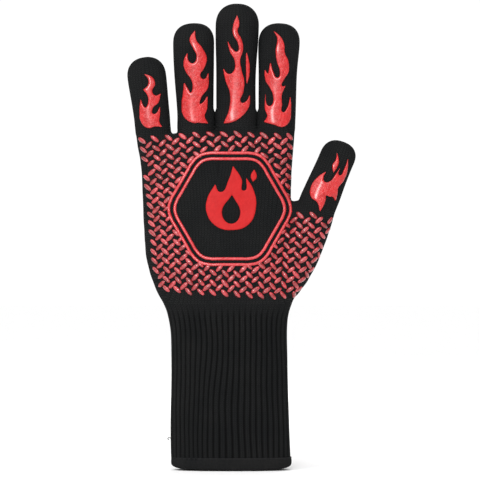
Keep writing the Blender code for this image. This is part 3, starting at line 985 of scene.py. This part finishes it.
def read_grid(grid, x, z):
    """Values of a grid between its points."""
    column = np.clip((x - GRID_X[0]) / GRID, 0, len(GRID_X) - 1.001)
    row = np.clip((z - GRID_Z[0]) / GRID, 0, len(GRID_Z) - 1.001)
    c, r = column.astype(int), row.astype(int)
    s, t = column - c, row - r
    return ((grid[r, c] * (1 - s) + grid[r, c + 1] * s) * (1 - t)
            + (grid[r + 1, c] * (1 - s) + grid[r + 1, c + 1] * s) * t)


def cloth_point(face, x, z):
    """Places on the cloth and the ways out of it, for arrays of x and z in millimetres."""
    grid, side, step = CLOTH[face], FACES[face], 0.9
    y = read_grid(grid, x, z)
    slope_x = (read_grid(grid, x + step, z) - read_grid(grid, x - step, z)) / (2 * step)
    slope_z = (read_grid(grid, x, z + step) - read_grid(grid, x, z - step)) / (2 * step)
    out = np.stack([-slope_x, np.ones_like(y), -slope_z], axis=-1) * side
    out /= np.linalg.norm(out, axis=-1, keepdims=True)
    return np.stack([x, y, z], axis=-1), out


def lay_on(piece, face, to_glove=None, sink=0.15):
    """Moves a flat print, drawn in X and Z with its thickness in Y, onto the cloth."""
    co = np.array([v.co[:] for v in piece.data.vertices]) / MM
    x, z = co[:, 0], co[:, 2]
    if to_glove is not None:
        x, z = to_glove(x, z)
    place, out = cloth_point(face, x, z)
    piece.data.vertices.foreach_set("co", ((place + out * (co[:, 1:2] - sink)) * MM).ravel())
    if FACES[face] > 0:
        piece.data.flip_normals()
    piece.data.update()
    piece.data.shade_smooth()
    return piece


# %% [markdown]
# ## The printed shapes
#
# A stencil is a closed curve. It is filled, given a thickness and melted on a fine grid, and smoothing
# then rounds its edge the way thick ink rounds as it cures. Points marked P are sharp tips and notches,
# and the rest are smooth.

# %% From a drawn outline to a soft print
P = True


def drawn(name, loops, thickness, bevel=0.0, points=12):
    """A curve object in X and Z, filled, or swept as a line if it has a bevel."""
    curve = bpy.data.curves.new(name, "CURVE")
    curve.dimensions = "2D" if not bevel else "3D"
    curve.resolution_u = points
    if bevel:
        curve.bevel_depth = bevel * MM
        curve.bevel_resolution = 3
    else:
        curve.fill_mode = "BOTH"
        curve.extrude = thickness / 2 * MM
    for loop in loops:
        spline = curve.splines.new("BEZIER")
        spline.bezier_points.add(len(loop) - 1)
        spline.use_cyclic_u = True
        for point, (x, z, *sharp) in zip(spline.bezier_points, loop):
            point.co = (x * MM, z * MM, 0.0)
            point.handle_left_type = point.handle_right_type = "VECTOR" if sharp else "AUTO"
    piece = new_object(name, curve)
    bpy.context.view_layer.update()
    made = evaluated_copy(piece, name)
    made.data.transform(Matrix.Rotation(math.pi / 2, 4, "X"))
    return made


def soft_print(name, loops, thickness, voxel=0.5, rounds=3):
    """A filled outline with rounded edges; its lower side is at zero."""
    made = melted(drawn(name, loops, thickness), voxel, name)
    bm = smoothed(made, rounds)
    bm.to_mesh(made.data)
    bm.free()
    return made


print("a test dot has", len(soft_print("dot", [[(0, 0), (4, 0), (4, 4), (0, 4)]], 1.2).data.polygons))
bpy.data.objects.remove(bpy.data.objects["dot"])

# %% [markdown]
# Each finger has its own flame: a wide base with tongues that hook to one side and the other on the
# way up to a leaning tip. The flames are drawn across and along the finger, in millimetres.

# %% Flame outlines
FLAMES = {
    "little": [[
        (7.4, 1.4, P), (5.6, 6.0), (6.8, 11.5), (7.4, 18.0, P), (4.2, 12.8), (1.6, 12.4),
        (2.2, 17.0), (6.2, 20.0), (9.0, 27.0, P), (4.8, 26.0), (2.9, 29.6), (5.6, 34.4),
        (4.4, 39.6), (-2.2, 43.6, P), (0.9, 38.4), (0.0, 34.2), (-3.8, 31.6, P), (-0.9, 26.0),
        (-1.6, 20.0), (-3.6, 17.2, P), (-5.0, 19.6), (-6.4, 25.0, P), (-8.2, 15.5), (-7.8, 7.0),
        (-3.6, 2.2), (2.6, 2.6),
    ]],
    "ring": [[
        (9.8, 2.4, P), (7.4, 7.6), (9.2, 14.2), (9.6, 23.4, P), (5.8, 18.2), (3.2, 16.8, P),
        (5.2, 22.6), (10.0, 29.6), (10.6, 41.0, P), (7.4, 36.2), (4.6, 38.6), (7.6, 44.6),
        (9.6, 51.6), (6.6, 59.6), (2.0, 66.0), (1.4, 73.6, P), (-3.0, 66.6), (-0.6, 60.0),
        (2.0, 53.4), (-0.6, 48.4), (-4.0, 50.4), (-4.6, 57.0, P), (-7.8, 49.6), (-6.4, 42.4),
        (-2.2, 35.6), (-1.4, 29.6), (-2.8, 25.2, P), (-5.0, 29.4), (-7.8, 34.4, P),
        (-8.6, 26.0), (-9.8, 17.0), (-8.4, 8.4), (-3.0, 3.6), (4.0, 3.0),
    ]],
    "middle": [
        [
            (-9.4, 2.0, P), (-2.0, 3.4), (5.0, 8.2), (9.6, 15.0), (10.4, 24.6, P), (7.2, 18.8),
            (3.8, 18.2), (5.4, 26.0), (6.0, 34.0), (4.0, 42.4), (2.8, 50.0), (4.9, 58.4),
            (3.6, 66.0), (0.6, 72.0), (1.9, 77.4), (0.2, 84.6, P), (-2.8, 76.6),
            (-2.8, 69.6), (0.9, 63.0), (0.4, 56.6), (-3.0, 58.6), (-7.0, 65.4, P),
            (-5.0, 56.6), (-1.4, 49.6), (-2.4, 41.4), (-6.0, 39.8), (-10.0, 44.6, P),
            (-8.0, 34.6), (-4.8, 25.4), (-5.2, 13.0),
        ],
        [(7.6, 31.0, P), (9.8, 40.0), (9.2, 50.0), (7.0, 57.6, P), (7.2, 46.0)],
    ],
    "index": [[
        (-9.8, 3.6, P), (-2.0, 1.6), (5.0, 0.2), (9.4, 4.6), (10.4, 13.6), (9.6, 23.6, P),
        (7.4, 14.6), (4.4, 11.4), (3.6, 17.6), (3.2, 24.0), (5.8, 31.6, P), (3.2, 31.0),
        (4.4, 36.0), (7.6, 42.0), (7.2, 50.0), (4.2, 57.0), (3.8, 62.4), (1.2, 68.0),
        (-4.8, 73.0, P), (-1.8, 67.4), (-2.6, 57.8), (-1.2, 49.0), (1.0, 42.4),
        (-0.4, 37.4), (-3.6, 41.4), (-6.2, 49.6, P), (-7.2, 42.4), (-7.6, 39.4, P), (-10.2, 43.6, P),
        (-9.4, 35.4), (-6.2, 30.0),
        (-3.6, 24.6), (-4.0, 17.0), (-6.4, 15.8), (-9.0, 25.0, P), (-9.0, 13.0), (-7.4, 8.0),
    ]],
    "thumb": [
        [
            (3.4, -4.6, P), (4.4, 1.6), (4.2, 5.6), (2.6, 9.6, P), (5.4, 8.8), (8.2, 9.6),
            (11.4, 7.2, P), (10.6, 13.0), (9.4, 17.4),
            (10.7, 23.4), (10.6, 31.0), (7.2, 41.4, P), (7.9, 33.0), (6.4, 26.8), (4.4, 32.6, P),
            (3.4, 25.6), (1.6, 19.8), (-1.6, 18.2), (-3.8, 20.8), (-3.6, 26.4, P),
            (-7.6, 20.4), (-9.6, 11.0), (-6.8, 3.8), (-0.8, 1.4),
        ],
        [(1.5, 27.0, P), (2.4, 31.4), (2.0, 36.2), (-2.6, 43.0, P), (-0.8, 36.8), (-1.6, 32.2)],
    ],
}
PRINT_HEIGHT = 1.25

for name, loops in FLAMES.items():
    print(name, "flame:", sum(len(loop) for loop in loops), "points")


# %% Print the flames
def part_at(piece, height, keep_above):
    """Cuts a flat print across at a height and closes the cut."""
    bm = bmesh.new()
    bm.from_mesh(piece.data)
    cut = bmesh.ops.bisect_plane(bm, geom=[*bm.verts, *bm.edges, *bm.faces], dist=1e-7,
                                 plane_co=(0, 0, height * MM), plane_no=(0, 0, 1),
                                 clear_inner=keep_above, clear_outer=not keep_above)
    rim = [item for item in cut["geom_cut"] if isinstance(item, bmesh.types.BMEdge)]
    bmesh.ops.holes_fill(bm, edges=rim, sides=0)
    bm.to_mesh(piece.data)
    bm.free()
    return piece


def on_this_finger(name):
    """What takes a place on a finger's stencil to its place in the glove."""
    finger = FINGERS[name]
    return lambda x, z: in_glove(name, x + finger["drift"] * smooth_share(z / finger["tip"]), z)


def print_flame(name, face):
    for length, above in (("lower", False), ("upper", True)):
        piece = soft_print(f"{name}_{length}_flame_print_{face}", FLAMES[name], PRINT_HEIGHT * 2)
        part_at(piece, split_at(name), above)
        lay_on(piece, face, on_this_finger(name), 0.15)
        nodes = [f"{name}_{length}_flame_{face}"]
        if name == "middle" and above:
            nodes.append(f"middle_side_flame_{face}")
        finish(piece, silicone, "grip", *nodes)
        (bend_middle if above else bend_knuckle)(piece, name)


for name in FLAMES:
    for face in FACES:
        print_flame(name, face)
print("flames printed on", len(FLAMES), "fingers, both faces")

# %% [markdown]
# The badge is two raised hexagon lines with rounded corners, and a plain fire sign inside them. The
# lines are half-round beads, so they are swept and not filled.

# %% Badge
BADGE = (-1.2, 198.4)
BADGE_SIGN = (-0.2, 206.6)
BADGE_LINES = {"outer": (42.3, 16.5), "inner": (37.9, 13.5)}
LINE_WIDTH = 2.3
SIGN = [
    [
        (0.0, -24.5), (13.5, -20.0), (19.0, -7.0), (17.0, 6.5), (11.5, 15.5, P), (9.6, 5.5),
        (8.2, 14.0), (1.5, 24.5, P), (-2.0, 13.5), (-8.0, 4.5), (-12.0, 10.5, P), (-18.2, -1.0),
        (-18.6, -11.0), (-12.0, -21.0),
    ],
    [(0.0, -19.5), (6.8, -13.0), (0.8, 2.5, P), (-6.8, -12.0)],
]
SPARK = [[(16.6, 12.0, P), (19.6, 15.8), (17.6, 22.0, P), (14.9, 16.4)]]


def hexagon(half_height, radius):
    """A level hexagon with its corners cut back and rounded."""
    setback = radius * math.tan(math.radians(30))
    reach = half_height / math.cos(math.radians(30))
    corners = [Vector((math.cos(a), math.sin(a))) * reach for a in np.radians(range(0, 360, 60))]
    loop = []
    for i, corner in enumerate(corners):
        before = (corners[i - 1] - corner).normalized()
        after = (corners[(i + 1) % 6] - corner).normalized()
        for way in (before * 1.6, before, (before + after) * 0.268, after, after * 1.6):
            spot = corner + way * setback
            loop.append((BADGE[0] + spot.x, BADGE[1] + spot.y))
    return loop


def shifted(loops, centre):
    return [[(x + centre[0], z + centre[1], *sharp) for x, z, *sharp in loop] for loop in loops]


for face in FACES:
    for line, (half_height, radius) in BADGE_LINES.items():
        bead = drawn(f"badge_{line}_line_{face}", [hexagon(half_height, radius)], 0.0, LINE_WIDTH / 2, 8)
        lay_on(bead, face, None, 0.1)
        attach(finish(bead, silicone_lines, "grip", f"palm_{line}_ring_{face}"), "hand")
    sign = lay_on(soft_print(f"badge_flame_print_{face}", shifted(SIGN, BADGE_SIGN), 1.7), face)
    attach(finish(sign, silicone_flat, "grip", f"palm_flame_{face}"), "hand")
    spark = lay_on(soft_print(f"badge_spark_print_{face}", shifted(SPARK, BADGE_SIGN), 1.7), face)
    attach(finish(spark, silicone_flat, "grip", f"palm_spark_{face}"), "hand")
print("badges printed")

# %% [markdown]
# ## The grip pads
#
# Hundreds of small oval pads lean left and right by turns, like a woven basket. They are set out on
# the cloth itself: columns about 5 mm apart, measured round the surface, so that they crowd together
# towards the sides as seen from in front. None is inside the badge, and those against its line are
# shorter.

# %% Set out the pads
COLUMNS, ROWS = range(-14, 27), 16  # column 0 is in the middle of the palm
COLUMN_STEP = 5.05
OUTER_COLUMNS = 13  # from the middle to the little finger's edge
PAD_LENGTH, PAD_WIDTH, PAD_RISE = 7.7, 3.3, 1.2
PAD_CLEAR = 1.6  # from the badge's line: a pad nearer than this is moved out to it and made shorter
PAD_CUT = -0.4  # and a pad nearer than this is left out
SHORT_PAD = 0.78
FIELD_TOP = (
    (-68.0, 249.6), (-46.0, 252.2), (-28.0, 254.6), (0.0, 255.4), (21.0, 254.2), (44.0, 253.2))
FIELD_BOTTOM = ((-50.0, 137.6), (-36.0, 136.0), (-2.0, 134.2), (34.0, 132.4), (50.0, 133.4))
FIELD_FLOOR = 132.0
LAST_COLUMN = ((134.0, -56.0), (170.0, -59.0), (200.0, -61.5), (254.0, -68.4))  # height, place across
# Height, and how much cloth is bare at the little finger's edge.
BARE_EDGE = ((134.0, 6.0), (150.0, 4.6), (200.0, 4.6), (254.0, 3.2))
LEANS = (42.0, -35.0)  # degrees, of even and odd columns


def unrolled(face):
    """For each row of the grid, the distance round the cloth from the middle of the palm."""
    depth = CLOTH[face]
    middle = int((0.0 - GRID_X[0]) / GRID)
    steps = np.hypot(GRID, np.minimum(np.abs(np.diff(depth, axis=1)), 4.0))
    run = np.concatenate([np.zeros((len(GRID_Z), 1)), np.cumsum(steps, axis=1)], axis=1)
    return run - run[:, middle:middle + 1]


def outside_badge(x, z):
    """How far a point is outside the rounded outer line of the badge, and the way out from there."""
    half_height, radius = BADGE_LINES["outer"]
    core = half_height - radius  # the hexagon that the corners' centres make
    point = Vector((x - BADGE[0], z - BADGE[1]))
    if point.length < core:
        return -radius, Vector((0.0, 1.0))
    spots = []
    for turn in np.radians(range(30, 390, 60)):
        out, along = Vector((math.cos(turn), math.sin(turn))), Vector((-math.sin(turn), math.cos(turn)))
        reach = core * math.tan(math.radians(30))
        spots.append(out * core + along * min(max(point.dot(along), -reach), reach))
    away = point - min(spots, key=lambda spot: (point - spot).length)
    return away.length - radius, away.normalized()


def in_field(x, z, left, right):
    return left <= x <= right and (x < 46.0 or z < 198.6 - (x - 50.0) * 0.30)


def along_line(where, line):
    return float(np.interp(where, *zip(*line)))


def row_height(x, row):
    """The rows arch a little, and they are closer together towards the little finger."""
    top, bottom = along_line(x, FIELD_TOP), along_line(x, FIELD_BOTTOM)
    return top - row * (top - bottom) / ROWS


def pad_spot(run, column, row):
    """Where a pad would be, the line of the grid there, and how low in the field it is, from 0 to 1."""
    z = row_height(column * 4.9, row)
    line = min(int((z - GRID_Z[0]) / GRID), len(GRID_Z) - 1)
    low = float(smooth_share((215.0 - z) / 85.0))
    around = column * COLUMN_STEP * (1 - 0.11 * low)
    if column < 0:
        last = float(np.interp(along_line(z, LAST_COLUMN), GRID_X, run[line]))
        around = -column / OUTER_COLUMNS * last
    return float(np.interp(around, run[line], GRID_X)), z, line, low


def pad_places(face, seed):
    """(x, z, lean in degrees) of every pad on a face."""
    chance = random.Random(seed)
    run = unrolled(face)
    places = []
    for column in COLUMNS:
        odd = column % 2
        for row in range(ROWS + odd):
            x, z, line, low = pad_spot(run, column, row + (1 - odd) / 2)
            if z < FIELD_FLOOR:
                continue
            filled = np.nonzero(np.abs(CLOTH[face][line]) > 2.0)[0]
            edge = float(eased(z, 2)) if z > 197.0 else GRID_X[filled[-1]]
            if not in_field(x, z, float(eased(z, 1)) + along_line(z, BARE_EDGE), edge - 0.9):
                continue
            clear, away = outside_badge(x, z)
            if clear < PAD_CUT:
                continue
            short = 1.0
            if clear < PAD_CLEAR:
                x, z = (v + (PAD_CLEAR - clear) * w for v, w in zip((x, z), away))
                short = SHORT_PAD
            to_thumb = 8.0 * low * float(smooth_share(x / 40.0))
            lean = LEANS[odd] - 9.0 * low * odd - to_thumb
            places.append((x + chance.uniform(-0.3, 0.3), z + chance.uniform(-0.3, 0.3),
                           lean + chance.uniform(-4.0, 4.0), chance.uniform(0.93, 1.07) * short))
    return places


print("pads on the front:", len(pad_places("front", 5)))


# %% Make the pads
def build_pads(face, seed):
    bm = bmesh.new()
    pad = one_bead(12, 6)
    for vert in pad.vertices:
        vert.co = [math.copysign(abs(c) ** power, c) for c, power in zip(vert.co, (0.92, 1.0, 0.8))]
    side = FACES[face]
    for x, z, lean, size in pad_places(face, seed):
        place, out = cloth_point(face, np.array([x]), np.array([z]))
        out = Vector(out[0])
        right = Vector((0, 0, 1)).cross(out) * -side
        right.normalize()
        up = (out.cross(right) * -side).normalized()
        angle = math.radians(lean)
        long_way = right * math.cos(angle) + up * math.sin(angle)
        wide_way = out.cross(long_way).normalized()
        turn = Matrix((long_way, wide_way, out)).transposed().to_4x4()
        length, width = PAD_LENGTH / 2 * size * MM, PAD_WIDTH / 2 * size * MM
        shape = Matrix.Diagonal((length, width, PAD_RISE * MM, 1.0))
        spot = Vector(place[0]) * MM - out * 0.1 * MM
        add_copy(bm, pad, Matrix.Translation(spot) @ turn @ shape)
    bmesh.ops.recalc_face_normals(bm, faces=bm.faces)
    return new_piece(f"grip_pads_{face}", bm)


for seed, face in enumerate(FACES, start=5):
    pads = build_pads(face, seed)
    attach(finish(pads, silicone_pads, "grip"), "hand")
    print(pads.name, len(pads.data.polygons), "faces")

# %% [markdown]
# ## Light and view
#
# Soft light from large panels, a white surround and a pale floor under the hem. The camera is far off
# with a long lens, level with the middle of the glove, so nothing is foreshortened.

# %% Floor, lights and camera
FRAME_HEIGHT = 0.3662
VIEW_CENTRE = Vector((0.0066, 0.0, 0.1747))
VIEW_DISTANCE = 2.4
SEEN_WHITE, CAST_LIGHT = 1.04, 0.42  # the surround as the camera sees it, and as a light


def build_floor():
    bm = bmesh.new()
    bmesh.ops.create_grid(bm, x_segments=1, y_segments=1, size=6.0)
    bmesh.ops.translate(bm, verts=bm.verts, vec=(0, 0, -0.0006))
    floor = new_piece("floor", bm)
    material, tree, shader = new_finish("pale floor")
    stops = [(0.0, (0.95, 0.95, 0.95)), (1.0, (0.97, 0.97, 0.97))]
    speck = colour_ramp(tree, noise_node(tree, 30.0), stops)
    feed(tree, shader, {"Base Color": speck, "Roughness": 0.9, "Specular IOR Level": 0.1})
    floor.data.materials.append(material)


def add_panel(name, place, aim, size, power):
    light = bpy.data.lights.new(name, "AREA")
    light.shape = "SQUARE"
    light.size = size
    light.energy = power
    lamp = new_object(name, light)
    lamp.location = place
    lamp.rotation_euler = (Vector(aim) - Vector(place)).to_track_quat("-Z", "Y").to_euler()


def add_sun():
    """One wide, soft light for the whole studio, so that the floor is as bright far off as near."""
    light = bpy.data.lights.new("overhead light", "SUN")
    light.energy = 2.5
    light.angle = math.radians(75)
    lamp = new_object("overhead light", light)
    lamp.rotation_euler = Vector((0.3, 0.66, -1.0)).to_track_quat("-Z", "Y").to_euler()


def add_surround():
    """White to look at, and about half as bright as a light, so that forms keep their shading."""
    world = bpy.data.worlds.new("white surround")
    bpy.context.scene.world = world
    world.use_nodes = True
    tree = world.node_tree
    seen = tree.nodes.new("ShaderNodeLightPath").outputs["Is Camera Ray"]
    strength = math_node(tree, "MULTIPLY_ADD", seen, SEEN_WHITE - CAST_LIGHT, CAST_LIGHT)
    feed(tree, tree.nodes["Background"], {"Color": (1.0, 1.0, 1.0), "Strength": strength})


def add_camera():
    camera = bpy.data.cameras.new("camera")
    camera.sensor_width = 36.0
    camera.lens = 36.0 * VIEW_DISTANCE / FRAME_HEIGHT
    view = new_object("camera", camera)
    view.location = VIEW_CENTRE - Vector((0.0, VIEW_DISTANCE, 0.0))
    view.rotation_euler = (math.radians(90), 0.0, 0.0)
    bpy.context.scene.camera = view


build_floor()
add_panel("front panel", (-0.25, -2.0, 0.55), (0.0, 0.0, 0.2), 0.22, 14.0)
add_panel("back panel", (0.3, 1.6, 1.2), (0.0, 0.0, 0.18), 0.9, 14.0)
add_sun()
add_camera()
add_surround()
bpy.context.scene.view_settings.view_transform = "Standard"
print("camera lens:", round(bpy.context.scene.camera.data.lens, 1), "mm")
